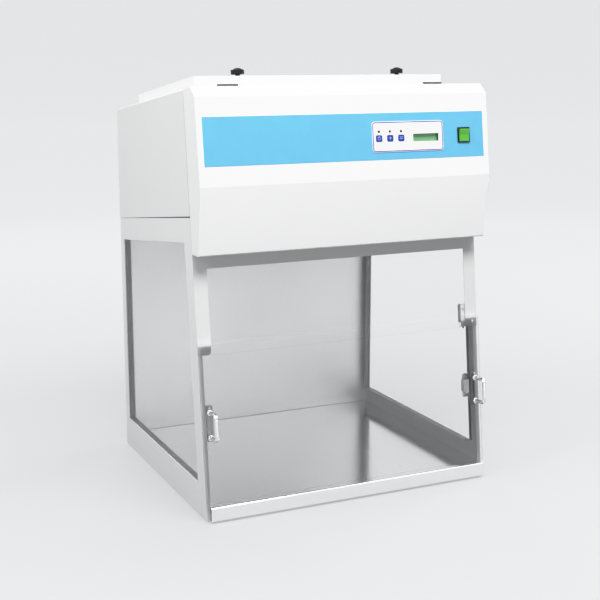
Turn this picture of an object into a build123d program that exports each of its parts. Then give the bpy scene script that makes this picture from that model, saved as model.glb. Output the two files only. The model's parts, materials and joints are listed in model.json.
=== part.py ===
"""Bench-top fume hood: a glazed work chamber with a sliding front screen under a filter and fan head.

Millimetres. X is to the right, Y to the back and Z up. The origin is on the bench, under the middle of the
hood. The front leans back and the head's roof and seam fall towards the back, so most of the pieces are
drawn on one of four working planes: FRONT, FACET, ROOF and DECK.
"""

from build123d import *

import math
import os

# ---------------------------------------------------------------- driving dimensions
WIDTH = 650.0
BASE_DEPTH = 545.0  # back face to the foot of the front plane
Y_BACK = 286.0
FRONT_LEAN = 6.4  # degrees, the front leans back
ROOF_FALL = 7.0  # degrees, the roof and the head seam fall towards the back
SHEET = 1.5
FOOT_GAP = 2.0  # side panels clear the bench by this

SEAM_BACK = 546.0  # height of the head seam at the back
ROOF_BACK = 794.5  # height of the roof at the back
SEAM_GAP_BACK = 0.4
SEAM_GAP_FRONT = 2.6
HEAD_OVERHANG = 2.0  # the head stands this far behind the chamber

PANEL_FLANGE = 10.0  # front return of a side panel
WINDOW_SILL = 69.0
WINDOW_REAR = 22.5  # rear post of the side panel
WINDOW_FRONT = 41.0  # front post of the side panel
WINDOW_HEAD = 49.5  # panel height above the window
WINDOW_LEDGE = 16.0  # inward returns on the sill and rear post
PANE = 5.0

FLOOR = 28.5
LIP_OUT = 15.5  # the tray's nose stands this far in front of the foot of the front
LIP_TOP = 34.0
LIP_BOTTOM = 4.0
LIP_HALF = 320.0

LEG_INNER = 296.5
LEG_BOTTOM = 336.0
FRAME_OPENING_TOP = 507.0
FRAME_TOP = 596.0
LEG_CORNER = 9.0

SASH_HALF = 324.5
SASH_BOTTOM = 37.0
SASH_TOP = 359.0
SASH_REAR = 5.0  # gap between the front plane and the sash
SASH_TRAVEL = 99.0
GUIDE_BOTTOM = 163.0
GUIDE_TOP = 235.0
GUIDE_INNER = 302.0
GUIDE_OUTER = 313.5
HANDLE_X = 310.0
HANDLE_LOW = 171.5
HANDLE_HIGH = 222.5
HANDLE_ROD = 8.0
HANDLE_REACH = 36.0
HANDLE_BEND = 10.0

COVER_GAP = 1.8  # between the front cover's cheeks and the head
COVER_BEND = 1.5
STRIP_HALF = 313.5
STRIP_TOP = 38.0  # distances down the facet from the chamfer
STRIP_BOTTOM = 132.2
FILM = 0.6
OVERLAY_SIZE = (167.0, 62.0)
OVERLAY_X = 131.6
OVERLAY_DOWN = 86.2
OVERLAY_THICK = 1.2
KEY_X = (63.8, 89.4, 115.1)
KEY_DOWN = 89.3
KEY_SIZE = (14.3, 13.2)
KEY_TRAVEL = 0.6
LED_DOWN = 75.6
LED_DIAMETER = 5.0
DISPLAY_X = 173.3
DISPLAY_DOWN = 89.3
DISPLAY_SIZE = (60.5, 15.6)
SWITCH_X = 264.6
SWITCH_DOWN = 86.6
SWITCH_SIZE = (29.0, 31.0)
ROCKER_SIZE = (22.9, 26.0)
ROCKER_PROUD = 6.5
TRUNNION = 1.2  # radius of the rocker's two pivots

HATCH_HALF = 283.5
HATCH_REAR = 36.0  # distances forward from the roof's back edge
HATCH_FRONT = 407.0
HATCH_HEIGHT = 30.3
KNOB_X = 184.0
KNOB_FROM_FRONT = 16.0
KNOB_DIAMETER = 27.5
KNOB_LIFT = 5.0

HINGE_X = 232.6
HINGE_LENGTH = 42.0
HINGE_BARREL = 10.0
HINGE_PIN = 4.0
RUNNING = 0.05  # radial clearance of a shaft or pin

FILTER_SIZE = (500.0, 330.0)
FILTER_HEIGHT = 66.0
FILTER_CENTRE = 235.0  # forward from the back edge of the deck
FAN_CENTRE = 225.0
FAN_DIAMETER = 200.0
FAN_PLATE_HEIGHT = 88.0
LAMP_LENGTH = 540.0

HALF = WIDTH / 2
Y_FOOT = Y_BACK - BASE_DEPTH
LEAN = math.radians(FRONT_LEAN)
FALL = math.radians(ROOF_FALL)


# ---------------------------------------------------------------- lines and working planes
def front_y(z):
    """Y of the leaning front plane at height z."""
    return Y_FOOT + z * math.tan(LEAN)


def seam_z(y):
    """Height of the head seam at y."""
    return SEAM_BACK + (Y_BACK - y) * math.tan(FALL)


def roof_z(y):
    """Height of the roof at y."""
    return ROOF_BACK + (Y_BACK - y) * math.tan(FALL)


def meets_front(height_at):
    """(y, z) where a line that falls to the back meets the front plane."""
    z = height_at(Y_FOOT)
    for _ in range(30):
        z = height_at(front_y(z))
    return front_y(z), z


SEAM_Y, SEAM_Z = meets_front(seam_z)
ROOF_Y, ROOF_Z = meets_front(roof_z)
SEAM_S = SEAM_Z / math.cos(LEAN)
ROOF_S = ROOF_Z / math.cos(LEAN)

# Side profile of the front cover, as (y, z): top rear, brow, chamfer foot, facet break, bottom front.
COVER_BROW = (ROOF_Y - 42.3, ROOF_Z + 6.6)
COVER_CHAMFER = (COVER_BROW[0] - 23.4, COVER_BROW[1] - 18.2)
COVER_BREAK = (COVER_CHAMFER[0] - 22.7, COVER_CHAMFER[1] - 169.1)
COVER_BOTTOM = (COVER_BREAK[0] + 14.9, COVER_BREAK[1] - 135.2)
FACET_LEAN = math.atan2(22.7, 169.1)

# FRONT: x across, y up the slope, z outwards from the leaning front.
FRONT = Plane((0, Y_FOOT, 0), x_dir=(1, 0, 0), z_dir=(0, -math.cos(LEAN), math.sin(LEAN)))
# FACET: the same on the cover's upper facet, with its origin on the chamfer.
FACET = Plane(
    (0, *COVER_CHAMFER),
    x_dir=(1, 0, 0),
    z_dir=(0, -math.cos(FACET_LEAN), math.sin(FACET_LEAN)),
)
# BEHIND: FRONT seen from inside, so x runs to the left and z inwards.
BEHIND = Plane(FRONT.origin, x_dir=(-1, 0, 0), z_dir=-FRONT.z_dir)
# ROOF and DECK: x across, y towards the back and down the slope, z square off the surface.
ROOF = Plane((0, Y_BACK, ROOF_BACK), x_dir=(1, 0, 0), z_dir=(0, math.sin(FALL), math.cos(FALL)))
DECK = Plane((0, Y_BACK, SEAM_BACK), x_dir=(1, 0, 0), z_dir=(0, math.sin(FALL), math.cos(FALL)))


# ---------------------------------------------------------------- shape helpers
def at(plane, x, y, z=0.0):
    """Point in space of a working plane's coordinates."""
    return plane.from_local_coords(Vector(x, y, z))


def outermost(shape, direction):
    """Edges that lie farthest along a direction."""
    return shape.edges().group_by(Axis((0, 0, 0), direction))[-1]


def block(plane, xs, ys, zs):
    """Box between two x, two y and two z values of a working plane."""
    size = (xs[1] - xs[0], ys[1] - ys[0], zs[1] - zs[0])
    centre = ((xs[0] + xs[1]) / 2, (ys[0] + ys[1]) / 2, (zs[0] + zs[1]) / 2)
    return plane * Pos(*centre) * Box(*size)


def plate(plane, size, centre, zs, radius=0.0):
    """Flat plate with rounded corners on a working plane, between two z values."""
    outline = RectangleRounded(*size, radius) if radius else Rectangle(*size)
    return plane * Pos(*centre, zs[0]) * extrude(outline, zs[1] - zs[0])


def rod(plane, radius, centre, zs):
    """Round bar square to a working plane, between two z values."""
    height = zs[1] - zs[0]
    return plane * Pos(*centre, zs[0] + height / 2) * Cylinder(radius, height)


def side_prism(points, x0, x1):
    """Solid with a (y, z) outline, between two x positions."""
    outline = make_face(Polyline(*points, close=True))
    return Plane.YZ.offset(x0) * extrude(outline, x1 - x0)


def unit(a, b):
    """Unit vector from a to b."""
    length = math.dist(a, b)
    return (b[0] - a[0]) / length, (b[1] - a[1]) / length


def shifted(path, distance):
    """The path moved sideways to its left by a distance, with mitred corners."""
    moved = []
    for i, point in enumerate(path):
        before = unit(path[i - 1], point) if i > 0 else unit(point, path[i + 1])
        after = unit(point, path[i + 1]) if i < len(path) - 1 else before
        turn = 1 + before[0] * after[0] + before[1] * after[1]
        normal = (-(before[1] + after[1]), before[0] + after[0])
        moved.append((point[0] + distance * normal[0] / turn, point[1] + distance * normal[1] / turn))
    return moved


def folded_sheet(path, x0, x1, bend=COVER_BEND, thickness=SHEET):
    """Sheet bent along a (y, z) path, lying to the left of it, with round bends."""
    inner = shifted(path, thickness)
    outline = make_face(Polyline(*path, *reversed(inner), close=True))
    for i in range(1, len(path) - 1):
        a, b = unit(path[i - 1], path[i]), unit(path[i], path[i + 1])
        left_turn = a[0] * b[1] - a[1] * b[0] > 0
        radii = (bend + thickness, bend) if left_turn else (bend, bend + thickness)
        for corner, radius in zip((path[i], inner[i]), radii):
            nearest = outline.vertices().sort_by_distance((*corner, 0))[0]
            outline = fillet(nearest, radius)
    return Plane.YZ.offset(x0) * extrude(outline, x1 - x0)


def mirrored(shape):
    """The same piece on the other side of the hood."""
    return mirror(shape, about=Plane.YZ)


def pan_screw(plane, centre, seat, shank=7.0, head=4.0):
    """Pan-head screw with a cross recess; its head sits on z = seat and its shank points to -z."""
    body = rod(plane, head, centre, (seat, seat + 2.2))
    body = fillet(outermost(body, plane.z_dir), 1.4)
    body += rod(plane, 1.95, centre, (seat - shank, seat))
    for width, height in ((4.2, 1.0), (1.0, 4.2)):
        body -= plate(plane, (width, height), centre, (seat + 1.0, seat + 3.0))
    return body


pieces = {}


def save(name, shape):
    """Keep a piece under its node name."""
    pieces[name] = shape


# ---------------------------------------------------------------- chamber: side panels and windows
def window_outline(grow=0.0, grow_ledges=0.0):
    """(y, z) corners of a side window, let out at its head and front, and at its sill and rear post."""
    sill = WINDOW_SILL - grow_ledges
    rear = Y_BACK - WINDOW_REAR + grow_ledges
    front = WINDOW_FRONT / math.cos(LEAN) - grow

    def head(y):
        return seam_z(y) - WINDOW_HEAD + grow

    y, z = front_y(sill) + front, SEAM_BACK
    for _ in range(20):
        z = head(front_y(z) + front)
    return [(y, sill), (rear, sill), (rear, head(rear)), (front_y(z) + front, z)]


def side_panel():
    """Left side panel: one folded sheet with a window and inward returns on every edge."""
    x0, x1 = -HALF, -HALF + SHEET
    outline = [(front_y(FOOT_GAP), FOOT_GAP), (Y_BACK, FOOT_GAP), (Y_BACK, SEAM_BACK), (SEAM_Y, SEAM_Z)]
    panel = side_prism(outline, x0, x1)
    panel += block(FRONT, (x0, x0 + PANEL_FLANGE), (FOOT_GAP + 1, SEAM_S - 1), (-SHEET, 0))
    panel += block(Plane.XY, (x0, x0 + 12), (Y_FOOT + 3, Y_BACK), (FOOT_GAP, FOOT_GAP + SHEET))
    panel += block(Plane.XY, (x0, x0 + 16), (Y_BACK - SHEET, Y_BACK), (FOOT_GAP, SEAM_BACK - 1))
    top = [(Y_BACK, SEAM_BACK), (SEAM_Y + 2, seam_z(SEAM_Y + 2))]
    panel += folded_sheet(top, x0, x0 + 14)
    (y_front, sill), (rear, _), (_, head), _ = window_outline()
    panel -= side_prism(window_outline(), x0 - 1, x1 + 1)
    panel += block(Plane.XY, (x0, x0 + WINDOW_LEDGE), (rear, rear + SHEET), (sill, head))
    panel += block(Plane.XY, (x0, x0 + WINDOW_LEDGE), (y_front, rear + SHEET), (sill - SHEET, sill))
    for z in BACK_SCREW_HEIGHTS:
        panel -= rod(REAR, SCREW_HOLE, (HALF - 9, z), (-8, 1))
    return panel


REAR = Plane((0, Y_BACK, 0), x_dir=(-1, 0, 0), z_dir=(0, 1, 0))
SCREW_HOLE = 2.3
BACK_SCREW_HEIGHTS = (40, 160, 280, 400, 520)
save("left_side_panel", side_panel())

pane_x = -HALF + SHEET
window = side_prism(window_outline(grow=10.0, grow_ledges=-0.4), pane_x + 0.1, pane_x + 0.1 + PANE)
save("left_window", window)
save("right_window", mirrored(window))

# ---------------------------------------------------------------- chamber: back, tray, base and feet
back_size = (WIDTH - 2 * SHEET - 1, SEAM_BACK - FOOT_GAP - 5.5)
back_centre = (0, FOOT_GAP + 2 + back_size[1] / 2)
back = plate(REAR, back_size, back_centre, (-3.2, -1.7))
for side in (-1, 1):
    for z in BACK_SCREW_HEIGHTS:
        back -= rod(REAR, SCREW_HOLE, (side * (HALF - 9), z), (-8, 1))
save("back_panel", back)
liner_top = SEAM_BACK - 3
liner_size = (back_size[0], liner_top - FLOOR - 0.5)
liner_centre = (0, FLOOR + 0.5 + liner_size[1] / 2)
save("back_liner", plate(REAR, liner_size, liner_centre, (-4.9, -3.4)))

lip_rear = Y_FOOT - 1.5
lip_front = Y_FOOT - LIP_OUT
floor_front = front_y(FLOOR) + 4
lip = [
    (lip_rear, FLOOR),
    (lip_rear, LIP_TOP),
    (lip_front, LIP_TOP),
    (lip_front, LIP_BOTTOM),
    (lip_rear, LIP_BOTTOM),
]
tray = folded_sheet(lip, -LIP_HALF, LIP_HALF)
tray += block(Plane.XY, (-314.5, 314.5), (lip_rear - 1, floor_front + 1), (FLOOR - SHEET, FLOOR))
tray_half = HALF - SHEET - 0.5
tray += block(Plane.XY, (-tray_half, tray_half), (floor_front, Y_BACK - 5.2), (FLOOR - SHEET, FLOOR))
save("work_tray", tray)

base_x, base_z = HALF - SHEET - 1, (FOOT_GAP + SHEET + 0.5, FLOOR - SHEET)
base_y = (front_y(base_z[1]) + 2, Y_BACK - 5)
rail = 30.0
base = block(Plane.XY, (-base_x, base_x), base_y, base_z)
base -= block(Plane.XY, (rail - base_x, base_x - rail), (base_y[0] + rail, base_y[1] - rail), (0, 40))
base -= block(
    Plane.XY,
    (SHEET - base_x, base_x - SHEET),
    (base_y[0] + SHEET, base_y[1] - SHEET),
    (base_z[0] + SHEET, base_z[1] - SHEET),
)
save("base_frame", base)

feet = []
for side in (-1, 1):
    for y in (base_y[0] + 40, base_y[1] - 40):
        foot = rod(Plane.XY, 10, (side * (base_x - 20.2), y), (0, base_z[0]))
        foot = chamfer(foot.edges().group_by(Axis.Z)[0], 1.0)
        feet.append(foot)
save("rubber_feet", Compound(children=feet))


# ---------------------------------------------------------------- front frame, upper screen and interlock
def front_frame():
    """Arch of painted sheet screwed to the front flanges of the side panels."""
    frame = block(FRONT, (-HALF, HALF), (LEG_BOTTOM, FRAME_TOP), (0, SHEET))
    frame -= block(FRONT, (-LEG_INNER, LEG_INNER), (LEG_BOTTOM - 1, FRAME_OPENING_TOP), (-1, SHEET + 1))
    for side in (-1, 1):
        corner = at(FRONT, side * LEG_INNER, LEG_BOTTOM, SHEET / 2)
        frame = fillet(frame.edges().sort_by_distance(corner)[0], LEG_CORNER)
    return frame


LEG_SCREW = (314.4, 345.7)
BRACKET_SCREW = (291.5, 374.7)
PLUNGER = (296.5, -8.75)  # across, and outwards from the front plane
PLUNGER_TIP = 331.3
SWITCH_BOTTOM = 345.0
frame = front_frame()
right_panel = mirrored(pieces["left_side_panel"])
leg_hole = rod(FRONT, SCREW_HOLE, LEG_SCREW, (-9, 3))
save("front_frame", frame - leg_hole)
save("right_side_panel", right_panel - leg_hole)

screen = block(FRONT, (-307, 307), (334.5, 524), (-6.5, -SHEET - 0.1))
screen -= block(FRONT, (285, 320), (330, 389), (-8, 0))
save("upper_screen", screen)

bracket = block(FRONT, (287.5, 321), (LEG_BOTTOM, 384), (-2 * SHEET - 0.1, -SHEET - 0.1))
bracket -= leg_hole
bracket -= rod(FRONT, SCREW_HOLE, BRACKET_SCREW, (-9, 3))
save("interlock_bracket", bracket)
switch_top = 384.0
switch_case = block(FRONT, (288, 304), (SWITCH_BOTTOM, switch_top), (-14.5, -3.2))
bore = Plane(
    at(FRONT, PLUNGER[0], SWITCH_BOTTOM, PLUNGER[1]),
    x_dir=(1, 0, 0),
    z_dir=(0, math.sin(LEAN), math.cos(LEAN)),
)
switch_case -= rod(bore, 1.5 + RUNNING, (0, 0), (-1, 18))
switch_case -= rod(FRONT, 2.0, BRACKET_SCREW, (-11, 0))
save("interlock_switch", switch_case)
plunger = rod(bore, 1.5, (0, 0), (PLUNGER_TIP - SWITCH_BOTTOM, 13))
save("interlock_plunger", fillet(plunger.edges().sort_by(Axis.Z)[0], 0.6))


# ---------------------------------------------------------------- sash
def handle(x):
    """D-shaped pull handle of round rod with two foot collars."""
    foot, reach = SASH_REAR + PANE, SASH_REAR + PANE + HANDLE_REACH
    middle = (HANDLE_LOW + HANDLE_HIGH) / 2
    upright = Plane(at(FRONT, x, middle), x_dir=FRONT.z_dir, z_dir=(-1, 0, 0))
    half = (HANDLE_HIGH - HANDLE_LOW) / 2
    path = FilletPolyline((foot, -half), (reach, -half), (reach, half), (foot, half), radius=HANDLE_BEND)
    path = upright * path
    start = Plane(path @ 0, z_dir=path % 0)
    grip = sweep(start * Circle(HANDLE_ROD / 2), path=path)
    for s in (HANDLE_LOW, HANDLE_HIGH):
        collar = rod(FRONT, 6.0, (x, s), (foot, foot + 2.5))
        grip += fillet(outermost(collar, FRONT.z_dir), 0.8)
    for s in (HANDLE_LOW, HANDLE_HIGH):
        grip -= rod(FRONT, 2.0, (x, s), (foot - 1, foot + 9))
    return grip


def guide_block():
    """Left acrylic guide: it backs the sash and hooks behind the side panel's front flange."""
    guide = block(FRONT, (-GUIDE_OUTER, -GUIDE_INNER), (GUIDE_BOTTOM, GUIDE_TOP), (-8, SASH_REAR))
    guide += block(FRONT, (-320, -GUIDE_OUTER), (GUIDE_BOTTOM, GUIDE_TOP), (-8, -SHEET - 0.8))
    for s in (HANDLE_LOW, HANDLE_HIGH, TOP_SCREW):
        guide -= rod(FRONT, 2.2, (-HANDLE_X, s), (-9, SASH_REAR + 1))
    return guide


TOP_SCREW = 231.4
sash = plate(
    FRONT,
    (2 * SASH_HALF, SASH_TOP - SASH_BOTTOM),
    (0, (SASH_TOP + SASH_BOTTOM) / 2),
    (SASH_REAR, SASH_REAR + PANE),
    radius=3.0,
)
for x in (-HANDLE_X, HANDLE_X):
    for s in (HANDLE_LOW, HANDLE_HIGH, TOP_SCREW):
        sash -= rod(FRONT, 2.2, (x, s), (SASH_REAR - 1, SASH_REAR + PANE + 1))
save("sash_screen", sash)
save("left_handle", handle(-HANDLE_X))
save("right_handle", handle(HANDLE_X))
save("left_guide_block", guide_block())
save("right_guide_block", mirrored(guide_block()))

screws = []
for side in (-1, 1):
    for s in (HANDLE_LOW, HANDLE_HIGH):
        seat = 9.5 if side < 0 else 8.0
        screws.append(pan_screw(BEHIND, (side * HANDLE_X, s), seat, shank=seat + 18, head=3.6))
    screws.append(pan_screw(FRONT, (side * HANDLE_X, TOP_SCREW), SASH_REAR + PANE, shank=16, head=2.6))
save("handle_screws", Compound(children=screws))

tab_centre, tab_width, tab_top = PLUNGER[0], 13.0, 231.0
actuator = block(FRONT, (290, 313), (179, 219), (-9.5, -8))
actuator += block(FRONT, (290, 303), (179, tab_top - 5), (-9.5, -8))
actuator += plate(FRONT, (tab_width, 20), (tab_centre, tab_top - 10), (-9.5, -8), radius=5)
for s in (HANDLE_LOW, HANDLE_HIGH):
    actuator -= rod(FRONT, 2.2, (HANDLE_X, s), (-12, 0))
housing = block(FRONT, (286, 299), (189, 219), (-8, 3))
housing = chamfer(housing.edges().sort_by_distance(at(FRONT, 286, 189, -3))[0], 4)
actuator += housing
actuator += rod(FRONT, 3.0, (tab_centre, 225), (-8, -6.4))
save("interlock_actuator", actuator)


# ---------------------------------------------------------------- head: shell, bulkhead, rear panel, deck
def head_shell():
    """Roof and both sides of the head in one folded sheet."""
    y_rear = Y_BACK + HEAD_OVERHANG
    low_rear, low_front = SEAM_BACK + SEAM_GAP_BACK, SEAM_Z + SEAM_GAP_FRONT
    outline = [
        (y_rear, low_rear),
        (y_rear, roof_z(y_rear)),
        (ROOF_Y, ROOF_Z),
        (front_y(low_front), low_front),
    ]
    shell = side_prism(outline, -HALF, HALF)
    inner = [
        (y_rear + 5, low_rear - 20),
        (y_rear + 5, roof_z(y_rear + 5) - SHEET / math.cos(FALL)),
        (ROOF_Y - 20, roof_z(ROOF_Y - 20) - SHEET / math.cos(FALL)),
        (ROOF_Y - 80, low_front - 20),
    ]
    shell -= side_prism(inner, SHEET - HALF, HALF - SHEET)
    along_roof = shell.edges().filter_by(Axis((0, 0, 0), ROOF.y_dir))
    outer = [e for e in along_roof if abs(abs(e.center().X) - HALF) < 0.01 and e.center().Z > SEAM_Z + 50]
    shell = fillet(outer, 1.4)
    shell -= plate(ROOF, HATCH_OPENING, (0, -(HATCH_REAR + HATCH_FRONT) / 2), (-5, 5), radius=6)
    for side in (-1, 1):
        shell -= rod(ROOF, 3.8, (side * KNOB_X, KNOB_Y), (-5, 5))
    return shell


HATCH_OPENING = (536.0, 322.0)
KNOB_Y = KNOB_FROM_FRONT - HATCH_FRONT
save("head_shell", head_shell())

gasket_rear = Y_BACK - 3
gasket = [
    (gasket_rear, seam_z(gasket_rear) + 0.02),
    (gasket_rear, seam_z(gasket_rear) + SEAM_GAP_BACK - 0.05),
    (SEAM_Y + 4, seam_z(SEAM_Y + 4) + SEAM_GAP_FRONT - 0.1),
    (SEAM_Y + 4, seam_z(SEAM_Y + 4) + 0.02),
]
gasket = side_prism(gasket, -HALF + 0.7, -HALF + SHEET)
save("seam_gasket", Compound(children=[gasket, mirrored(gasket)]))

bulkhead_half = HALF - SHEET - 0.2
bulkhead = block(FRONT, (-bulkhead_half, bulkhead_half), (SEAM_S + 8, ROOF_S - 4), (-SHEET, 0))
bulkhead -= plate(FRONT, (60, 16), (0, ROOF_S - 60), (-5, 5), radius=6)
save("head_bulkhead", bulkhead)

rear_bottom, rear_top = SEAM_BACK + 3, ROOF_BACK - 3
INLET = (-215.0, 610.0)
rear_size = (2 * bulkhead_half, rear_top - rear_bottom)
rear_panel = plate(REAR, rear_size, (0, (rear_top + rear_bottom) / 2), (0.5, 2.0))
rear_panel -= plate(REAR, (28.4, 24.4), INLET, (-3, 5), radius=2)
vents = Sketch() + GridLocations(14, 0, 12, 1) * SlotOverall(40, 6, rotation=90)
rear_panel -= REAR * Pos(150, 690, -3) * extrude(vents, 8)
right_screws = ((312, 570), (312, 675), (312, 778), (110, 778), (110, 562))
HEAD_SCREWS = [(side * x, z) for side in (-1, 1) for x, z in right_screws]
for centre in HEAD_SCREWS:
    rear_panel -= rod(REAR, SCREW_HOLE, centre, (-3, 5))
save("head_rear_panel", rear_panel)

inlet = plate(REAR, (50, 29), INLET, (2.0, 4.6), radius=3) + plate(REAR, (28, 24), INLET, (-20, 3), radius=2)
inlet -= plate(REAR, (24.5, 16.5), INLET, (-13, 6), radius=3)
for dx, dz in ((-7, -2), (7, -2), (0, 2)):
    inlet += plate(REAR, (2, 4), (INLET[0] + dx, INLET[1] + dz), (-14, 1))
for side in (-1, 1):
    inlet -= rod(REAR, 1.6, (INLET[0] + side * 20, INLET[1]), (1, 6))
save("mains_inlet", inlet)

deck_half = HALF - SHEET - 0.3
deck_front = -(Y_BACK - SEAM_Y) / math.cos(FALL) + 4
deck = block(DECK, (-deck_half, deck_half), (deck_front, -0.5), (0, SHEET))
for side in (-1, 1):
    wall = sorted((side * deck_half, side * (deck_half - SHEET)))
    deck += block(DECK, wall, (deck_front + 6, -6), (0, 22))
grille_size = (FILTER_SIZE[0] - 24, FILTER_SIZE[1] - 24)
deck -= plate(DECK, (grille_size[0] - 20, grille_size[1] - 20), (0, -FILTER_CENTRE), (-1, 3), radius=4)
save("head_deck", deck)
openings = GridLocations(38, 13, 12, 21) * SlotOverall(32, 8)
grille = Rectangle(*grille_size) - openings
save("deck_grille", DECK * Pos(0, -FILTER_CENTRE, -1.3) * extrude(grille, 1.2))

# ---------------------------------------------------------------- filter
wall = 12.0
inside = (FILTER_SIZE[0] - 2 * wall, FILTER_SIZE[1] - 2 * wall)
filter_centre = (0, -FILTER_CENTRE)
seal = plate(DECK, FILTER_SIZE, filter_centre, (SHEET, 6)) - plate(DECK, inside, filter_centre, (0, 9))
save("filter_seal", seal)
filter_z = (6.0, 6.0 + FILTER_HEIGHT)
casing = plate(DECK, FILTER_SIZE, filter_centre, filter_z) - plate(DECK, inside, filter_centre, (0, 99))
save("filter_frame", casing)


def pleats(count=44, depth=54.0, thickness=1.0):
    """Zigzag sheet of filter paper, folded across the filter."""
    step = (inside[0] - 2) / count
    low, high = -depth / 2, depth / 2
    start, slant = 1 - inside[0] / 2, 3 * thickness
    tops = [(start + step * i, low if i % 2 else high - slant) for i in range(count + 1)]
    lows = [(x, z + slant) for x, z in reversed(tops)]
    return make_face(Polyline(*tops, *lows, close=True))


FOLDS = Plane(
    at(DECK, 0, -FILTER_CENTRE + inside[1] / 2 - 1, sum(filter_z) / 2),
    x_dir=(1, 0, 0),
    z_dir=-DECK.y_dir,
)
save("filter_media", FOLDS * extrude(pleats(), inside[1] - 2))

# ---------------------------------------------------------------- fan
fan_axis = (0, -FAN_CENTRE)
plate_z = (FAN_PLATE_HEIGHT, FAN_PLATE_HEIGHT + SHEET)
fan_plate = block(DECK, (-deck_half, deck_half), (-448, -14.5), plate_z)
for side in (-1, 1):
    wall_x = sorted((side * deck_half, side * (deck_half - SHEET)))
    fan_plate += block(DECK, wall_x, (-440, -18), (plate_z[0], plate_z[1] + 16))
fan_plate += rod(DECK, 68, fan_axis, (plate_z[0], plate_z[1] + 9))
fan_plate -= rod(DECK, 66, fan_axis, (plate_z[0] - 1, plate_z[1] + 12))
save("fan_plate", fan_plate)

fan_z = plate_z[1] + 5
radius = FAN_DIAMETER / 2
impeller = rod(DECK, radius, fan_axis, (fan_z, fan_z + 2)) - rod(DECK, 70, fan_axis, (fan_z - 1, fan_z + 3))
impeller += rod(DECK, radius, fan_axis, (fan_z + 54, fan_z + 56))
impeller += rod(DECK, 20, fan_axis, (fan_z + 54, fan_z + 66))
blade_count = 7
blade = Pos(84, 0, fan_z + 28.5) * Rot(0, 0, 52) * Box(40, 2, 55)
for i in range(blade_count):
    impeller += DECK * Pos(*fan_axis, 0) * Rot(0, 0, 360 / blade_count * i) * blade
impeller -= rod(DECK, 5 + RUNNING, fan_axis, (fan_z + 50, fan_z + 70))
save("fan_impeller", impeller)

motor_z = fan_z + 70
motor = rod(DECK, 45, fan_axis, (motor_z, motor_z + 38))
motor = fillet(motor.edges().filter_by(GeomType.CIRCLE), 3)
motor += rod(DECK, 5, fan_axis, (fan_z + 57, motor_z + 1))
save("fan_motor", motor)
bridge_top = motor_z + 38
bridge = block(DECK, (-128, 128), (-FAN_CENTRE - 28, -FAN_CENTRE + 28), (bridge_top, bridge_top + 2))
for side in (-1, 1):
    leg_x = sorted((side * 128, side * 126))
    foot_x = sorted((side * 128, side * 146))
    bridge += block(DECK, leg_x, (-FAN_CENTRE - 28, -FAN_CENTRE + 28), (plate_z[1], bridge_top + 2))
    bridge += block(DECK, foot_x, (-FAN_CENTRE - 28, -FAN_CENTRE + 28), (plate_z[1], plate_z[1] + 2))
save("fan_bracket", bridge)

# ---------------------------------------------------------------- lamps
WHITE_LAMP_Y, UV_LAMP_Y, LAMP_DROP = -450.0, -414.0, -17.0
half_lamp = LAMP_LENGTH / 2


def lamp(y):
    """Straight tube with two metal end caps drawn in."""
    across = Plane(at(DECK, 0, y, LAMP_DROP), x_dir=(0, 1, 0), z_dir=(1, 0, 0))
    tube = rod(across, 8, (0, 0), (-half_lamp, half_lamp))
    for side in (-1, 1):
        ring = sorted((side * (half_lamp - 12), side * (half_lamp - 13)))
        tube -= rod(across, 9, (0, 0), ring) - rod(across, 7.6, (0, 0), (-half_lamp - 1, half_lamp + 1))
    return tube


save("white_lamp", lamp(WHITE_LAMP_Y))
save("uv_lamp", lamp(UV_LAMP_Y))
holders = []
for side in (-1, 1):
    for y in (WHITE_LAMP_Y, UV_LAMP_Y):
        holder_x = sorted((side * half_lamp, side * (half_lamp + 16)))
        holders.append(block(DECK, holder_x, (y - 11, y + 11), (LAMP_DROP - 11, -0.1)))
save("lamp_holders", Compound(children=holders))
ballast = block(FRONT, (-285, -75), (660, 702), (0, 27))
save("lamp_ballast", fillet(ballast.edges().group_by(Axis.Z)[-1], 2))


# ---------------------------------------------------------------- front cover and its control panel
def facet_plate(size, centre_x, down, zs, radius=0.0):
    """Flat piece on the facet, centred a distance down from the chamfer."""
    return plate(FACET, size, (centre_x, -down), zs, radius)


def front_cover():
    """Folded cover of the head: top, chamfer, facet, lower facet and bottom, with a cheek at each end."""
    rear = COVER_GAP / math.cos(LEAN)
    top_rear = (ROOF_Y - rear, ROOF_Z + 0.3)
    bottom_rear = (front_y(COVER_BOTTOM[1]) - rear, COVER_BOTTOM[1])
    path = [top_rear, COVER_BROW, COVER_CHAMFER, COVER_BREAK, COVER_BOTTOM, bottom_rear]
    cover = folded_sheet(path, -HALF, HALF)
    cheek = make_face(Polyline(*path, close=True))
    for corner in path[1:-1]:
        cheek = fillet(cheek.vertices().sort_by_distance((*corner, 0))[0], COVER_BEND + SHEET)
    for x in (-HALF, HALF - SHEET):
        cover += Plane.YZ.offset(x) * extrude(cheek, SHEET)
    return cover


cover = front_cover()
led_hole = LED_DIAMETER / 2 + 0.15
switch_cut = (SWITCH_SIZE[0] - 1.6, SWITCH_SIZE[1] - 1.6)
post_x = (OVERLAY_X - 76, OVERLAY_X + 76)
post_down = (OVERLAY_DOWN - 24, OVERLAY_DOWN + 24)
for x in post_x:
    for down in post_down:
        cover += rod(FACET, 3.5, (x, -down), (-10, -1))
cover -= facet_plate((62, 17), DISPLAY_X, DISPLAY_DOWN, (-4, 3))
cover -= facet_plate(switch_cut, SWITCH_X, SWITCH_DOWN, (-4, 3))
for x in KEY_X:
    cover -= rod(FACET, 2.5, (x, -KEY_DOWN), (-4, 3))
    cover -= rod(FACET, led_hole, (x, -LED_DOWN), (-4, 3))
save("front_cover", cover)

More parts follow.
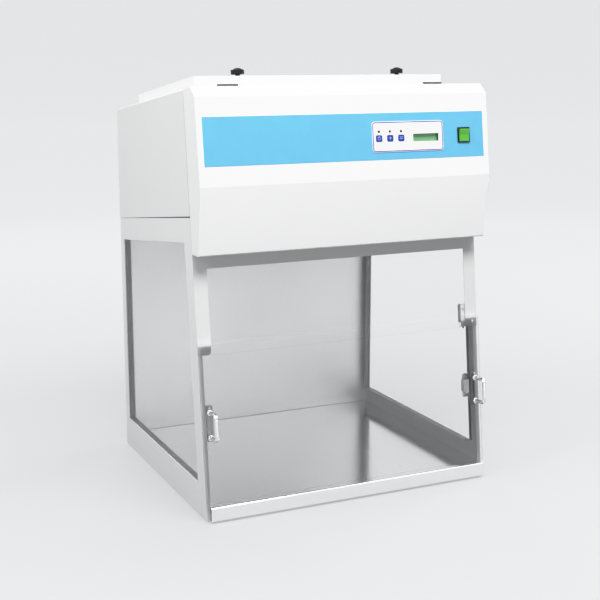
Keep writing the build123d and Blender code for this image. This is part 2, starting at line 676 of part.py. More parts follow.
strip_size = (2 * STRIP_HALF, STRIP_BOTTOM - STRIP_TOP)
strip = facet_plate(strip_size, 0, (STRIP_BOTTOM + STRIP_TOP) / 2, (0, FILM))
strip -= facet_plate((62, 17), DISPLAY_X, DISPLAY_DOWN, (-4, 3))
strip -= facet_plate(switch_cut, SWITCH_X, SWITCH_DOWN, (-4, 3))
for x in KEY_X:
    strip -= rod(FACET, 2.5, (x, -KEY_DOWN), (-4, 3))
    strip -= rod(FACET, led_hole, (x, -LED_DOWN), (-4, 3))
save("fascia_strip", strip)

overlay_top = FILM + OVERLAY_THICK
overlay = facet_plate(OVERLAY_SIZE, OVERLAY_X, OVERLAY_DOWN, (FILM, overlay_top), radius=7)
overlay -= facet_plate(DISPLAY_SIZE, DISPLAY_X, DISPLAY_DOWN, (0, 3), radius=0.8)
for x in KEY_X:
    overlay -= facet_plate((KEY_SIZE[0] + 0.5, KEY_SIZE[1] + 0.5), x, KEY_DOWN, (0, 3), radius=3.2)
    overlay -= rod(FACET, led_hole, (x, -LED_DOWN), (0, 3))
face = overlay.faces().sort_by(Axis((0, 0, 0), FACET.z_dir))[-1]
overlay = chamfer(face.outer_wire().edges(), 0.3)
save("control_overlay", overlay)

for name, x in zip(("left_key", "centre_key", "right_key"), KEY_X):
    key = facet_plate(KEY_SIZE, x, KEY_DOWN, (FILM + KEY_TRAVEL + 0.1, overlay_top + 0.7), radius=3)
    key = fillet(outermost(key, FACET.z_dir), 0.3)
    key += rod(FACET, 2.0, (x, -KEY_DOWN), (-6.2, FILM + KEY_TRAVEL + 0.3))
    save(name, key)

leds = []
for x in KEY_X:
    led = rod(FACET, LED_DIAMETER / 2, (x, -LED_DOWN), (-9.9, overlay_top + 0.5))
    leds.append(fillet(outermost(led, FACET.z_dir), 0.8))
save("status_leds", Compound(children=leds))

module = facet_plate((72, 26), DISPLAY_X, DISPLAY_DOWN, (-9.9, -1.6))
module -= facet_plate(DISPLAY_SIZE, DISPLAY_X, DISPLAY_DOWN, (-7, 0))
save("display_module", module)
glass_size = (DISPLAY_SIZE[0] - 0.1, DISPLAY_SIZE[1] - 0.1)
save("display_glass", facet_plate(glass_size, DISPLAY_X, DISPLAY_DOWN, (-6.9, -5.2)))

board = facet_plate((162, 56), OVERLAY_X, OVERLAY_DOWN, (-11.6, -10), radius=2)
for x in KEY_X:
    board += facet_plate((6, 6), x, KEY_DOWN, (-10.2, -7.2))
for dx, size in ((-60, (16, 16)), (-30, (20, 8)), (20, (12, 12)), (52, (18, 10))):
    board += facet_plate(size, OVERLAY_X + dx, OVERLAY_DOWN + 12, (-14, -11.4))
save("control_board", board)

switch_body = facet_plate(SWITCH_SIZE, SWITCH_X, SWITCH_DOWN, (FILM, 3.2), radius=1.5)
switch_body += facet_plate((switch_cut[0] - 0.4, switch_cut[1] - 0.4), SWITCH_X, SWITCH_DOWN, (-24, 1))
opening = (ROCKER_SIZE[0] + 0.8, ROCKER_SIZE[1] + 1.8)
switch_body -= facet_plate(opening, SWITCH_X, SWITCH_DOWN, (-10, 5))
ROCKER_PIVOT = -2.0
pivot = Plane(at(FACET, SWITCH_X, -SWITCH_DOWN, ROCKER_PIVOT), x_dir=FACET.y_dir, z_dir=(1, 0, 0))
switch_body -= rod(pivot, TRUNNION + RUNNING, (0, 0), (-12.8, 12.8))
for dx in (-7, 7):
    switch_body += facet_plate((0.8, 6.3), SWITCH_X + dx, SWITCH_DOWN, (-32, -23))
save("switch_body", switch_body)

ROCKER_TILT = 8.0
half_rocker = ROCKER_SIZE[1] / 2
rocker_outline = [
    (-half_rocker, -6),
    (half_rocker, -6),
    (half_rocker, ROCKER_PROUD),
    (0, ROCKER_PROUD - 1.6),
    (-half_rocker, ROCKER_PROUD),
]
rocker_face = make_face(Polyline(*[(y, z - ROCKER_PIVOT) for y, z in rocker_outline], close=True))
rocker = Pos(0, 0, -ROCKER_SIZE[0] / 2) * extrude(rocker_face, ROCKER_SIZE[0])
rocker = fillet(rocker.edges().filter_by(Axis.Z).group_by(Axis.Y)[-1], 1.0)
rocker += Cylinder(TRUNNION, 25.2)
save("switch_rocker", pivot * Rot(0, 0, ROCKER_TILT) * rocker)

# ---------------------------------------------------------------- cover hinges
HINGE_Y = ROOF_Y - COVER_GAP / 2
HINGE_Z = ROOF_Z + HINGE_BARREL / 2 + 0.45
edge_y = -(Y_BACK - ROOF_Y) / math.cos(FALL)  # the roof's front edge on ROOF
half_hinge = HINGE_LENGTH / 2
third = HINGE_LENGTH / 6
body_leaves, cover_leaves, pins = [], [], []
cover_top_lean = math.atan2(COVER_BROW[1] - ROOF_Z, ROOF_Y - COVER_BROW[0])
for hx in (-HINGE_X, HINGE_X):
    barrel = Plane((hx, HINGE_Y, HINGE_Z), x_dir=(0, 1, 0), z_dir=(1, 0, 0))
    bore_cut = rod(barrel, HINGE_PIN / 2 + RUNNING, (0, 0), (-60, 60))
    leaf = block(ROOF, (hx - half_hinge, hx + half_hinge), (edge_y + 6, edge_y + 26), (0.05, 2))
    for x0, x1 in ((-half_hinge, -third - 0.2), (third + 0.2, half_hinge)):
        leaf += block(ROOF, (hx + x0, hx + x1), (edge_y + 1, edge_y + 8), (0.05, 2))
        leaf += rod(barrel, HINGE_BARREL / 2, (0, 0), (x0, x1))
    body_leaves.append(leaf - bore_cut)
    top = Plane(
        (hx, HINGE_Y, ROOF_Z + 0.45),
        x_dir=(1, 0, 0),
        z_dir=(0, math.sin(cover_top_lean), math.cos(cover_top_lean)),
    )
    leaf = block(top, (-half_hinge, half_hinge), (-26, -6), (0.05, 2))
    leaf += block(top, (-third + 0.2, third - 0.2), (-8, -1), (0.05, 2))
    leaf += rod(barrel, HINGE_BARREL / 2, (0, 0), (-third + 0.2, third - 0.2))
    cover_leaves.append(leaf - bore_cut)
    pins.append(rod(barrel, HINGE_PIN / 2, (0, 0), (-half_hinge - 1, half_hinge + 8)))
save("body_hinge_leaves", Compound(children=body_leaves))
save("cover_hinge_leaves", Compound(children=cover_leaves))
save("hinge_pins", Compound(children=pins))


# ---------------------------------------------------------------- top hatch, seal, knobs and nuts
def top_hatch():
    """Shallow lift-off pan over the filter opening, with air slots in its rear wall."""
    xs, ys = (-HATCH_HALF, HATCH_HALF), (-HATCH_FRONT, -HATCH_REAR)
    hatch = block(ROOF, xs, ys, (0.2, HATCH_HEIGHT))
    upper = hatch.edges().filter_by(Axis.X).sort_by(Axis.Z)[-1:]
    hatch = fillet(upper, 1.2)
    inner_x, inner_y = (xs[0] + SHEET, xs[1] - SHEET), (ys[0] + SHEET, ys[1] - SHEET)
    hatch -= block(ROOF, inner_x, inner_y, (-1, HATCH_HEIGHT - SHEET))
    slots = Sketch() + GridLocations(36, 0, 14, 1) * SlotOverall(28, 7)
    back_wall = Plane(at(ROOF, 0, -HATCH_REAR, 15), x_dir=(-1, 0, 0), z_dir=ROOF.y_dir)
    hatch -= back_wall * Pos(0, 0, -5) * extrude(slots, 10)
    for side in (-1, 1):
        hatch -= rod(ROOF, 3.6, (side * KNOB_X, KNOB_Y), (HATCH_HEIGHT - 5, HATCH_HEIGHT + 5))
    return hatch


save("top_hatch", top_hatch())
seal_outer = (2 * HATCH_HALF - 2 * SHEET - 1, HATCH_FRONT - HATCH_REAR - 2 * SHEET - 1)
seal_centre = (0, -(HATCH_FRONT + HATCH_REAR) / 2)
hatch_seal = plate(ROOF, seal_outer, seal_centre, (0, 5)) - plate(
    ROOF, (seal_outer[0] - 18, seal_outer[1] - 18), seal_centre, (-1, 7), radius=4
)
save("hatch_seal", hatch_seal)


def star_knob(x):
    """Six-lobed clamping knob with a domed top, a short neck and a stud that reaches the nut in the roof."""
    low = HATCH_HEIGHT + KNOB_LIFT
    radius = KNOB_DIAMETER / 2
    star = Circle(radius)
    for i in range(6):
        angle = math.radians(60 * i + 30)
        star -= Pos(16.6 * math.cos(angle), 16.6 * math.sin(angle)) * Circle(4.6)
    star = fillet(star.vertices(), 1.2)
    body = extrude(star, 9)
    body = fillet(body.edges().group_by(Axis.Z)[-1], 1.8)
    body = fillet(body.edges().group_by(Axis.Z)[0], 0.8)
    body += Pos(0, 0, 9) * scale(Sphere(8.5), by=(1, 1, 0.42))
    knob = ROOF * Pos(x, KNOB_Y, low) * body
    knob += rod(ROOF, 4.6, (x, KNOB_Y), (HATCH_HEIGHT + 0.1, low + 1))
    knob += rod(ROOF, 3.0, (x, KNOB_Y), (-12, low))
    return knob


save("left_knob", star_knob(-KNOB_X))
save("right_knob", star_knob(KNOB_X))
nuts = []
for side in (-1, 1):
    nut = ROOF * Pos(side * KNOB_X, KNOB_Y, -SHEET - 7) * extrude(RegularPolygon(8, 6), 7)
    nuts.append(nut - rod(ROOF, 3 + RUNNING, (side * KNOB_X, KNOB_Y), (-12, 0)))
save("knob_nuts", Compound(children=nuts))

# ---------------------------------------------------------------- case screws
screws = []
for side in (-1, 1):
    for z in BACK_SCREW_HEIGHTS:
        screws.append(pan_screw(REAR, (side * (HALF - 9), z), 0, shank=3.3))
for centre in HEAD_SCREWS:
    screws.append(pan_screw(REAR, centre, 2.0, shank=6))
screws.append(pan_screw(FRONT, LEG_SCREW, SHEET, shank=7))
screws.append(pan_screw(FRONT, BRACKET_SCREW, -SHEET - 0.1, shank=7, head=2.6))
save("case_screws", Compound(children=screws))

os.makedirs("parts", exist_ok=True)
for name, shape in pieces.items():
    export_step(shape, f"parts/{name}.step")
print(len(pieces), "nodes")
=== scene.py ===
"""Studio scene of a bench-top fume hood: materials, control-panel print, floor, lights and camera."""
import json
import math

import bmesh
import bpy
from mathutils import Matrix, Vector


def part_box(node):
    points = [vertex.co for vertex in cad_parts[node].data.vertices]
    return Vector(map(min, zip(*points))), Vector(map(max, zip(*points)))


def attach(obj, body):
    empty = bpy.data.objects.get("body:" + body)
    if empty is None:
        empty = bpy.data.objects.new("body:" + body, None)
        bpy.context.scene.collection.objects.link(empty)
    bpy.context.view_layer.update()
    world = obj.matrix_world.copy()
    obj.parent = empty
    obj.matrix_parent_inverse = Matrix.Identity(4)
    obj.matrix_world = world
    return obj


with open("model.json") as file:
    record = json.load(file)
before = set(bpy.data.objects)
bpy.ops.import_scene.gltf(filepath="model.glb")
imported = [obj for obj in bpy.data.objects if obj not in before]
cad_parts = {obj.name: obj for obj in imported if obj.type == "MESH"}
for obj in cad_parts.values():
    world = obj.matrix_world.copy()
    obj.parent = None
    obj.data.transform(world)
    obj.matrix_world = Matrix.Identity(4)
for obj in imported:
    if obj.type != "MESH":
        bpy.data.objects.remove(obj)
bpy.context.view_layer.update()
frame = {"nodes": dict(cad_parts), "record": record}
NODES = frame["nodes"]
JOINTS = {joint["name"]: joint for joint in frame["record"]["behaviour"]["joints"]}

# Directions square to the side windows and to the leaning sash
X_AXIS = Vector((1, 0, 0))
SASH_FACING = Vector(JOINTS["sash_lift"]["axis"]).cross(X_AXIS).normalized()

# Sockets of a Mix node, by their places in its lists
VALUE_A, VALUE_B, VALUE_OUT = 2, 3, 0
COLOUR_A, COLOUR_B, COLOUR_OUT = 6, 7, 2

# Nearly all values of a noise texture lie between these
NOISE_LOW, NOISE_HIGH = 0.3, 0.7


# ------------------------------------------------------------------ node helpers
def feed(tree, socket, value):
    """Set the socket to a number, or link another socket into it."""
    if isinstance(value, (int, float)):
        socket.default_value = value
    else:
        tree.links.new(value, socket)


def mixed(tree, factor, first, second):
    """Value that runs from first to second as the factor goes from 0 to 1."""
    mix = tree.nodes.new("ShaderNodeMix")
    feed(tree, mix.inputs["Factor"], factor)
    feed(tree, mix.inputs[VALUE_A], first)
    feed(tree, mix.inputs[VALUE_B], second)
    return mix.outputs[VALUE_OUT]


def softened(tree, seen, cast):
    """Brightness with one value where it is seen or mirrored, and another where it lights dull surfaces."""
    path = tree.nodes.new("ShaderNodeLightPath")
    return mixed(tree, path.outputs["Diffuse Depth"], seen, cast)


class Shader:
    """A Principled material with short calls for the textures that feed it."""

    def __init__(self, name, colour, rough, metallic=0.0, **sockets):
        self.mat = bpy.data.materials.new(name)
        self.mat.use_nodes = True
        self.tree = self.mat.node_tree
        self.bsdf = self.tree.nodes["Principled BSDF"]
        self.colour = colour
        self.bsdf.inputs["Base Color"].default_value = (*colour, 1.0)
        self.bsdf.inputs["Roughness"].default_value = rough
        self.bsdf.inputs["Metallic"].default_value = metallic
        for socket, value in sockets.items():
            self.bsdf.inputs[socket.replace("_", " ")].default_value = value
        self.coords = self.add("ShaderNodeTexCoord").outputs

    def add(self, kind, **values):
        """New node of a kind, with its settings."""
        node = self.tree.nodes.new(kind)
        for key, value in values.items():
            setattr(node, key, value)
        return node

    def link(self, source, target):
        self.tree.links.new(source, target)

    def maths(self, operation, *values, **settings):
        """Result of a Math node whose inputs are numbers or sockets."""
        node = self.add("ShaderNodeMath", operation=operation, **settings)
        for socket, value in zip(node.inputs, values):
            feed(self.tree, socket, value)
        return node.outputs[0]

    def map_range(self, value, start, end, low, high):
        """The value, with its run from start to end carried to a run from low to high."""
        node = self.add("ShaderNodeMapRange")
        node.inputs["From Min"].default_value = start
        node.inputs["From Max"].default_value = end
        node.inputs["To Min"].default_value = low
        node.inputs["To Max"].default_value = high
        self.link(value, node.inputs["Value"])
        return node.outputs["Result"]

    def scaled(self, factors):
        """Object coordinates times a factor along each axis."""
        mapping = self.add("ShaderNodeMapping")
        mapping.inputs["Scale"].default_value = factors
        self.link(self.coords["Object"], mapping.inputs["Vector"])
        return mapping.outputs["Vector"]

    def noise(self, scale, detail, stretch=(1, 1, 1)):
        """Noise in object space; an axis with a small stretch gets long streaks."""
        texture = self.add("ShaderNodeTexNoise")
        texture.inputs["Scale"].default_value = scale
        texture.inputs["Detail"].default_value = detail
        self.link(self.scaled(stretch), texture.inputs["Vector"])
        return texture.outputs["Fac"]

    def falloff(self, radius, near, far):
        """Value that runs from near at the object's origin to far at a radius in metres."""
        sphere = self.add("ShaderNodeTexGradient", gradient_type="SPHERICAL")
        self.link(self.scaled((1 / radius,) * 3), sphere.inputs["Vector"])
        return self.map_range(sphere.outputs["Fac"], 0.0, 1.0, far, near)

    def spread(self, noise, low, high):
        """The noise, stretched to run from low to high."""
        return self.map_range(noise, NOISE_LOW, NOISE_HIGH, low, high)

    def tint(self, noise, low, high):
        """Base colour runs from colour times low to colour times high."""
        mix = self.add("ShaderNodeMix", data_type="RGBA")
        for socket, factor in ((COLOUR_A, low), (COLOUR_B, high)):
            shade = [min(1.0, channel * factor) for channel in self.colour]
            mix.inputs[socket].default_value = (*shade, 1.0)
        self.link(self.spread(noise, 0.0, 1.0), mix.inputs["Factor"])
        self.link(mix.outputs[COLOUR_OUT], self.bsdf.inputs["Base Color"])

    def vary(self, socket, noise, low, high):
        """The socket runs from low to high with the noise."""
        self.link(self.spread(noise, low, high), self.bsdf.inputs[socket])

    def bump(self, height, depth, strength):
        """Relief of a depth in metres."""
        node = self.add("ShaderNodeBump")
        node.inputs["Distance"].default_value = depth
        node.inputs["Strength"].default_value = strength
        self.link(height, node.inputs["Height"])
        self.link(node.outputs["Normal"], self.bsdf.inputs["Normal"])


# ------------------------------------------------------------------ kinds of material
SMUDGE_SHARE = 0.45  # of a brushed sheet's changes of gloss; its lines give the rest


def paint(name, colour, rough=0.36):
    """Powder coat: a faint orange peel, and slow changes of tone and gloss."""
    shader = Shader(name, colour, rough, Specular_IOR_Level=0.45, Coat_Weight=0.12, Coat_Roughness=0.25)
    shader.tint(shader.noise(scale=3.0, detail=4), 0.985, 1.01)
    shader.vary("Roughness", shader.noise(scale=14.0, detail=5), rough - 0.04, rough + 0.05)
    shader.bump(shader.noise(scale=420.0, detail=2), depth=0.00006, strength=0.5)
    return shader.mat


def brushed(name, colour, rough, grain, depth=0.00003):
    """Brushed sheet: fine lines along the axis where grain is small, with slow smudges."""
    shader = Shader(name, colour, rough, 1.0)
    lines = shader.noise(scale=900.0, detail=2, stretch=grain)
    smudge = shader.noise(scale=6.0, detail=5)
    shader.tint(lines, 0.97, 1.03)
    shader.vary("Roughness", mixed(shader.tree, SMUDGE_SHARE, lines, smudge), rough - 0.07, rough + 0.08)
    shader.bump(lines, depth, strength=0.5)
    return shader.mat


def plastic(name, colour, rough, grain=700.0, depth=0.00004, **sockets):
    """Moulded plastic or film: fine grain and slight changes of tone and gloss."""
    shader = Shader(name, colour, rough, 0.0, **sockets)
    shader.tint(shader.noise(scale=40.0, detail=4), 0.975, 1.025)
    shader.vary("Roughness", shader.noise(scale=90.0, detail=4), rough - 0.05, rough + 0.07)
    shader.bump(shader.noise(scale=grain, detail=2), depth, strength=0.6)
    return shader.mat


PANE_ROUGH = 0.04
GRAZING_ALPHA = 0.05  # added to a pane's alpha at grazing angles
EDGE_ALPHA = 0.3  # alpha of a pane's narrow faces, where light gathers in clear acrylic
HELD_BACK = 0.8  # share of the light from lamps and dull surfaces that a pane stops
NARROW_FACE, BROAD_FACE = 0.3, 0.7  # cosines of the angle from the facing, which part the two kinds of face


def edge_alpha(shader, facing):
    """EDGE_ALPHA on a pane's narrow faces and none on its broad ones; facing is square to the pane."""
    dot = shader.add("ShaderNodeVectorMath", operation="DOT_PRODUCT")
    dot.inputs[1].default_value = facing
    shader.link(shader.coords["Normal"], dot.inputs[0])
    turned = shader.maths("ABSOLUTE", dot.outputs["Value"])
    return shader.map_range(turned, NARROW_FACE, BROAD_FACE, EDGE_ALPHA, 0.0)


def acrylic(name, colour, alpha, facing=None):
    """Clear pane: a trace of haze, more of it at grazing angles, and visible edges if it has a facing."""
    shader = Shader(name, colour, PANE_ROUGH, 0.0, Specular_IOR_Level=0.5, IOR=1.49)
    weight = shader.add("ShaderNodeLayerWeight")
    weight.inputs["Blend"].default_value = 0.25
    haze = shader.spread(shader.noise(scale=5.0, detail=6), alpha * 0.8, alpha * 1.25)
    seen = shader.maths("MULTIPLY_ADD", weight.outputs["Fresnel"], GRAZING_ALPHA, haze, use_clamp=True)
    if facing is not None:
        seen = shader.maths("MAXIMUM", seen, edge_alpha(shader, facing))
    path = shader.add("ShaderNodeLightPath")
    lighting = shader.maths("MAXIMUM", path.outputs["Is Shadow Ray"], path.outputs["Is Diffuse Ray"])
    shader.link(mixed(shader.tree, lighting, seen, HELD_BACK), shader.bsdf.inputs["Alpha"])
    shader.vary("Roughness", shader.noise(scale=9.0, detail=6), PANE_ROUGH, PANE_ROUGH + 0.04)
    return shader.mat


# ------------------------------------------------------------------ materials
WHITE = paint("white_powder_coat", (0.80, 0.80, 0.805))
# Brighter copy of the white powder coat for the front cover and top hatch: painted light that makes the
# cover's facets brighter than the rest of the white paint
COVER_WHITE_PAINTED_LIGHT = paint("cover_powder_coat_painted_light", (0.89, 0.89, 0.895))
# Darker copy of the white powder coat for the front frame and interlock bracket: painted shade that stands
# in for the shadow under the cover's overhang
FRAME_WHITE_PAINTED_SHADE = paint("frame_powder_coat_painted_shade", (0.66, 0.66, 0.665))
HINGE = paint("hinge_grey_paint", (0.045, 0.045, 0.05), 0.45)
FLOOR_STEEL = brushed("tray_stainless", (0.90, 0.90, 0.905), 0.13, (1, 0.02, 1), depth=0.00001)
LINER_STEEL = brushed("liner_stainless", (0.85, 0.85, 0.855), 0.54, (1, 1, 0.02), depth=0.000002)
SMALL_STEEL = brushed("bracket_stainless", (0.45, 0.46, 0.47), 0.32, (0.05, 1, 1))
ZINC = brushed("zinc_screws", (0.44, 0.44, 0.46), 0.28, (1, 1, 1))
GALVANISED = brushed("galvanised_sheet", (0.50, 0.52, 0.54), 0.42, (0.3, 0.3, 0.3))
CASING = brushed("extruded_aluminium", (0.72, 0.73, 0.74), 0.33, (0.02, 1, 1))
CHROME = brushed("polished_handle", (0.78, 0.79, 0.80), 0.12, (1, 1, 0.1), depth=0.000008)
CLEAR = acrylic("clear_acrylic", (0.93, 0.95, 0.96), 0.006, SASH_FACING)
CLEAR_SIDE = acrylic("clear_acrylic_side", (0.90, 0.92, 0.93), 0.008, X_AXIS)
CLEAR_BLOCK = acrylic("clear_acrylic_block", (0.70, 0.72, 0.73), 0.42)
BLACK = plastic("black_plastic", (0.012, 0.012, 0.013), 0.5, Specular_IOR_Level=0.12)
LENS = plastic("led_lens", (0.006, 0.006, 0.007), 0.6, Specular_IOR_Level=0.05)
DARK = plastic("dark_moulding", (0.035, 0.045, 0.038), 0.5)
RUBBER = plastic("black_rubber", (0.02, 0.02, 0.021), 0.8, grain=300.0, depth=0.0001)
FILM = plastic("blue_film", (0.12, 0.415, 0.665), 0.36, grain=1100.0, depth=0.00002,
               Specular_IOR_Level=0.4)
OVERLAY = plastic("overlay_film", (0.78, 0.78, 0.795), 0.38, grain=1200.0, depth=0.00002)
RIM = plastic("overlay_rim_print", (0.045, 0.045, 0.36), 0.38)
KEY = plastic("key_blue", (0.02, 0.05, 0.30), 0.4, Specular_IOR_Level=0.25)
MARK = plastic("pale_print", (0.40, 0.45, 0.66), 0.4)
GREEN = plastic("rocker_green", (0.07, 0.365, 0.022), 0.22, Subsurface_Weight=0.15, Coat_Weight=0.5,
                Emission_Color=(0.06, 0.50, 0.02, 1), Emission_Strength=0.05)
DISPLAY = plastic("display_green", (0.145, 0.35, 0.14), 0.12, Coat_Weight=0.6,
                  Emission_Color=(0.22, 0.60, 0.25, 1), Emission_Strength=0.08)
BOARD = plastic("circuit_board", (0.015, 0.12, 0.05), 0.4)
PAPER = plastic("filter_paper", (0.85, 0.85, 0.82), 0.9, grain=500.0, depth=0.0001)
TUBE = plastic("lamp_tube", (0.90, 0.91, 0.92), 0.25, Emission_Color=(1, 1, 1, 1), Emission_Strength=0.1)
UV_TUBE = plastic("uv_tube", (0.62, 0.66, 0.80), 0.12)
HOLDER = plastic("lamp_holder_plastic", (0.80, 0.80, 0.78), 0.4)
MOTOR = plastic("motor_metal", (0.06, 0.06, 0.065), 0.45, Metallic=0.8)

LOOKS = {
    WHITE: "left_side_panel right_side_panel back_panel base_frame head_shell head_rear_panel",
    # darker copy of the white paint: painted shade on the front frame and interlock bracket
    FRAME_WHITE_PAINTED_SHADE: "front_frame interlock_bracket",
    # brighter copy of the white paint: painted light on the front cover and top hatch
    COVER_WHITE_PAINTED_LIGHT: "front_cover top_hatch",
    FLOOR_STEEL: "work_tray",
    LINER_STEEL: "back_liner",
    SMALL_STEEL: "interlock_actuator",
    ZINC: "case_screws handle_screws hinge_pins knob_nuts",
    # head_deck is galvanised sheet; its darker tone also serves as painted shade in the seam gap and on the
    # chamber's ceiling
    GALVANISED: "fan_plate fan_bracket deck_grille head_bulkhead head_deck",
    CASING: "filter_frame lamp_ballast",
    CHROME: "left_handle right_handle",
    CLEAR: "sash_screen upper_screen",
    CLEAR_SIDE: "left_window right_window",
    CLEAR_BLOCK: "left_guide_block right_guide_block",
    HINGE: "body_hinge_leaves cover_hinge_leaves",
    BLACK: "left_knob right_knob interlock_plunger mains_inlet switch_body fan_impeller",
    LENS: "status_leds",
    DARK: "display_module",
    RUBBER: "rubber_feet filter_seal hatch_seal seam_gasket",
    FILM: "fascia_strip",
    OVERLAY: "control_overlay",
    KEY: "left_key centre_key right_key",
    GREEN: "switch_rocker",
    DISPLAY: "display_glass",
    BOARD: "control_board",
    PAPER: "filter_media",
    TUBE: "white_lamp",
    UV_TUBE: "uv_lamp",
    HOLDER: "lamp_holders interlock_switch",
    MOTOR: "fan_motor",
}
for material, names in LOOKS.items():
    for name in names.split():
        data = NODES[name].data
        data.materials.clear()
        data.materials.append(material)


# ------------------------------------------------------------------ print on the control panel
OUT = -Vector(JOINTS["left_key_press"]["axis"]).normalized()
RIGHT = X_AXIS
UP = OUT.cross(RIGHT).normalized()
PRINT_THICK = 0.00012
CORNER_STEPS = 8
BAR_CORNER_STEPS = 3
RING_STEPS = 32


def face_of(node):
    """A point on the node's outer face on the sloping panel, level with its centre."""
    low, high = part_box(node)
    middle = (Vector(low) + Vector(high)) / 2
    proud = max(OUT.dot(v.co) for v in NODES[node].data.vertices)
    return middle + OUT * (proud - OUT.dot(middle))


def rounded(width, height, radius, steps=CORNER_STEPS):
    """Corner-rounded rectangle as (right, up) points."""
    points = []
    for corner, (side_x, side_y) in enumerate(((1, 1), (-1, 1), (-1, -1), (1, -1))):
        for step in range(steps + 1):
            angle = math.pi / 2 * (corner + step / steps)
            points.append((side_x * (width / 2 - radius) + radius * math.cos(angle),
                           side_y * (height / 2 - radius) + radius * math.sin(angle)))
    return points


def bar(width, height, up=0.0):
    """Filled bar with slightly rounded corners."""
    corner = min(width, height) * 0.3
    return [(x, y + up) for x, y in rounded(width, height, corner, BAR_CORNER_STEPS)]


def ring(radius, width):
    """Outer and inner loop of a round ring."""
    turn = [2 * math.pi * step / RING_STEPS for step in range(RING_STEPS)]
    return tuple([(r * math.cos(a), r * math.sin(a)) for a in turn] for r in (radius, radius - width))


def printed(name, body, origin, loops, material):
    """Thin raised print on the sloping panel: filled loops, or rings where a loop is a pair."""
    mesh = bmesh.new()

    def lay(points, lift):
        return [mesh.verts.new(origin + RIGHT * x + UP * y + OUT * lift) for x, y in points]

    def strip(first, second):
        for i in range(len(first)):
            j = (i + 1) % len(first)
            mesh.faces.new((first[i], first[j], second[j], second[i]))

    for loop in loops:
        if isinstance(loop[0][0], tuple):
            outer, inner = loop
            rows = [lay(outer, 0), lay(outer, PRINT_THICK), lay(inner, PRINT_THICK), lay(inner, 0)]
            for first, second in zip(rows, rows[1:]):
                strip(first, second)
        else:
            low, high = lay(loop, 0), lay(loop, PRINT_THICK)
            mesh.faces.new(high)
            strip(low, high)
    bmesh.ops.recalc_face_normals(mesh, faces=mesh.faces)
    data = bpy.data.meshes.new(name)
    mesh.to_mesh(data)
    mesh.free()
    data.materials.append(material)
    piece = bpy.data.objects.new(name, data)
    bpy.context.scene.collection.objects.link(piece)
    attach(piece, body)


# Ring round the overlay: metres in from the overlay's edge, and corner radii
RIM_START = 0.0013
RIM_END = 0.0030
RIM_RADIUS = 0.0058
RIM_INNER_RADIUS = 0.0042

overlay_low, overlay_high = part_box("control_overlay")
wide = overlay_high[0] - overlay_low[0]
tall = (overlay_high[2] - overlay_low[2]) / UP.z
rim = (
    rounded(wide - 2 * RIM_START, tall - 2 * RIM_START, RIM_RADIUS),
    rounded(wide - 2 * RIM_END, tall - 2 * RIM_END, RIM_INNER_RADIUS),
)
printed("overlay_rim", "front_cover", face_of("control_overlay"), [rim], RIM)

# Plain signs on the keys, in metres: a power ring, a plus and two bars
RING_RADIUS, RING_LINE, STEM_LENGTH, STEM_UP = 0.0036, 0.0008, 0.0034, 0.0022
PLUS_SPAN, PLUS_LINE = 0.0062, 0.0011
BAR_SPAN, BAR_LINE, BAR_UP = 0.0078, 0.0010, 0.0017
SIGNS = {
    "left_key": [ring(RING_RADIUS, RING_LINE), bar(RING_LINE, STEM_LENGTH, up=STEM_UP)],
    "centre_key": [bar(PLUS_SPAN, PLUS_LINE), bar(PLUS_LINE, PLUS_SPAN)],
    "right_key": [bar(BAR_SPAN, BAR_LINE, up=BAR_UP), bar(BAR_SPAN, BAR_LINE, up=-BAR_UP)],
}
for key, sign in SIGNS.items():
    printed(key + "_mark", key, face_of(key), sign, MARK)


# ------------------------------------------------------------------ floor and sky
FLOOR_HALF = 24.0  # half width of the backdrop sheet
FLOOR_REACH = 14.0  # from the object to the sheet's front edge, and to the start of its curve
CURVE_RADIUS = 8.0
CURVE_STEPS = 16
WALL_TOP = 16.0
BACKDROP_TURN = -math.radians(25)  # square to the camera's view


def backdrop_mesh():
    """Flat sheet that curves up into a wall."""
    profile = [(-FLOOR_REACH, 0.0), (FLOOR_REACH, 0.0)]
    for step in range(1, CURVE_STEPS + 1):
        angle = math.pi / 2 * step / CURVE_STEPS
        across = FLOOR_REACH + CURVE_RADIUS * math.sin(angle)
        profile.append((across, CURVE_RADIUS * (1 - math.cos(angle))))
    profile.append((FLOOR_REACH + CURVE_RADIUS, WALL_TOP))
    mesh = bmesh.new()
    rows = [[mesh.verts.new((x, y, z)) for x in (-FLOOR_HALF, FLOOR_HALF)] for y, z in profile]
    for first, second in zip(rows, rows[1:]):
        mesh.faces.new((first[0], first[1], second[1], second[0])).smooth = True
    data = bpy.data.meshes.new("studio_floor")
    mesh.to_mesh(data)
    mesh.free()
    return data


def backdrop_look():
    """Pale sheet that looks evenly lit and throws little light back on the object."""
    shader = Shader("studio_floor", (0.3, 0.3, 0.3), 0.8, Specular_IOR_Level=0.2,
                    Emission_Color=(0.972, 0.985, 1.0, 1))
    glow = softened(shader.tree, seen=shader.falloff(radius=4.0, near=0.41, far=0.725), cast=0.04)
    shader.link(glow, shader.bsdf.inputs["Emission Strength"])
    grey = shader.add("ShaderNodeCombineColor")
    tone = softened(shader.tree, seen=0.20, cast=0.08)
    for channel in ("Red", "Green", "Blue"):
        shader.link(tone, grey.inputs[channel])
    shader.link(grey.outputs["Color"], shader.bsdf.inputs["Base Color"])
    return shader.mat


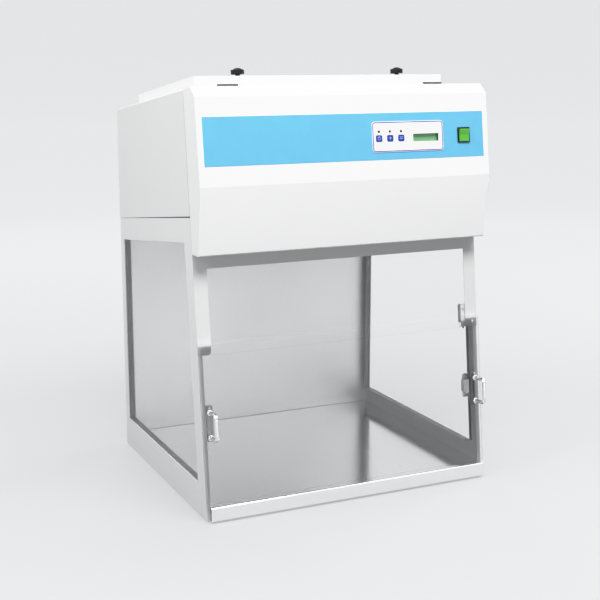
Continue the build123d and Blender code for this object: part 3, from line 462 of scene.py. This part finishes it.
def sky(direct, mirrored, cast):
    """Even sky with its own strength seen directly, in reflections and as light on dull surfaces."""
    world = bpy.data.worlds.new("studio")
    bpy.context.scene.world = world
    world.use_nodes = True
    tree = world.node_tree
    background = tree.nodes["Background"]
    background.inputs["Color"].default_value = (0.98, 0.99, 1.0, 1)
    path = tree.nodes.new("ShaderNodeLightPath")
    seen = mixed(tree, path.outputs["Is Camera Ray"], mirrored, direct)
    feed(tree, background.inputs["Strength"], softened(tree, seen, cast))


floor = bpy.data.objects.new("studio_floor", backdrop_mesh())
floor.data.materials.append(backdrop_look())
floor.rotation_euler.z = BACKDROP_TURN
bpy.context.scene.collection.objects.link(floor)
sky(direct=0.775, mirrored=0.86, cast=0.22)


# ------------------------------------------------------------------ lights
def area_light(name, place, target, size, power):
    """Rectangular lamp at a place, aimed at a target; metres and watts."""
    light = bpy.data.lights.new(name, "AREA")
    light.shape = "RECTANGLE"
    light.size, light.size_y = size
    light.energy = power
    lamp = bpy.data.objects.new(name, light)
    lamp.location = place
    lamp.rotation_euler = (Vector(target) - Vector(place)).to_track_quat("-Z", "Y").to_euler()
    bpy.context.scene.collection.objects.link(lamp)


area_light("key_right", (1.7, -1.5, 2.9), (0, -0.2, 0.8), (1.4, 1.4), 16)
area_light("key_front", (0.0, -1.55, 2.75), (0, -0.2, 0.6), (2.2, 1.0), 92)
area_light("card_front", (-0.3, -2.8, 0.3), (0, -0.3, 0.6), (2.4, 0.4), 9)
area_light("fill_left", (-2.6, -0.4, 2.3), (0, 0, 0.5), (1.6, 1.6), 62)
area_light("fill_right", (2.8, 0.6, 2.2), (0, 0, 0.5), (1.6, 1.6), 50)
area_light("fill_back", (0.3, 3.2, 2.2), (0, 0, 0.5), (2.0, 1.4), 38)


# ------------------------------------------------------------------ view and camera
WHITE_LEVEL = 2.6  # brightness in the scene that comes out as full white
# Pairs of brightness in the scene and as shown: true up to the light greys, then rolled off
SHOULDER = ((0.4, 0.4), (0.78, 0.78), (1.0, 0.915), (1.4, 0.965))

view = bpy.context.scene.view_settings
view.view_transform = "Standard"
view.use_curve_mapping = True
view.curve_mapping.white_level = (WHITE_LEVEL,) * 3
combined = view.curve_mapping.curves[3]  # the curve that red, green and blue share
for bright, shown in SHOULDER:
    combined.points.new(bright / WHITE_LEVEL, shown)
view.curve_mapping.update()

# Camera fitted to the object's straight edges: metres, degrees and millimetres
CAMERA_PLACE = (-1.089, -2.338, 0.910)
CAMERA_TILT = math.radians(78.33)
CAMERA_TURN = -math.radians(24.99)

camera = bpy.data.objects.new("camera", bpy.data.cameras.new("camera"))
camera.location = CAMERA_PLACE
camera.rotation_euler = (CAMERA_TILT, 0, CAMERA_TURN)
camera.data.sensor_width = 36.0
camera.data.lens = 70.404
camera.data.clip_end = 100
bpy.context.scene.collection.objects.link(camera)
bpy.context.scene.camera = camera
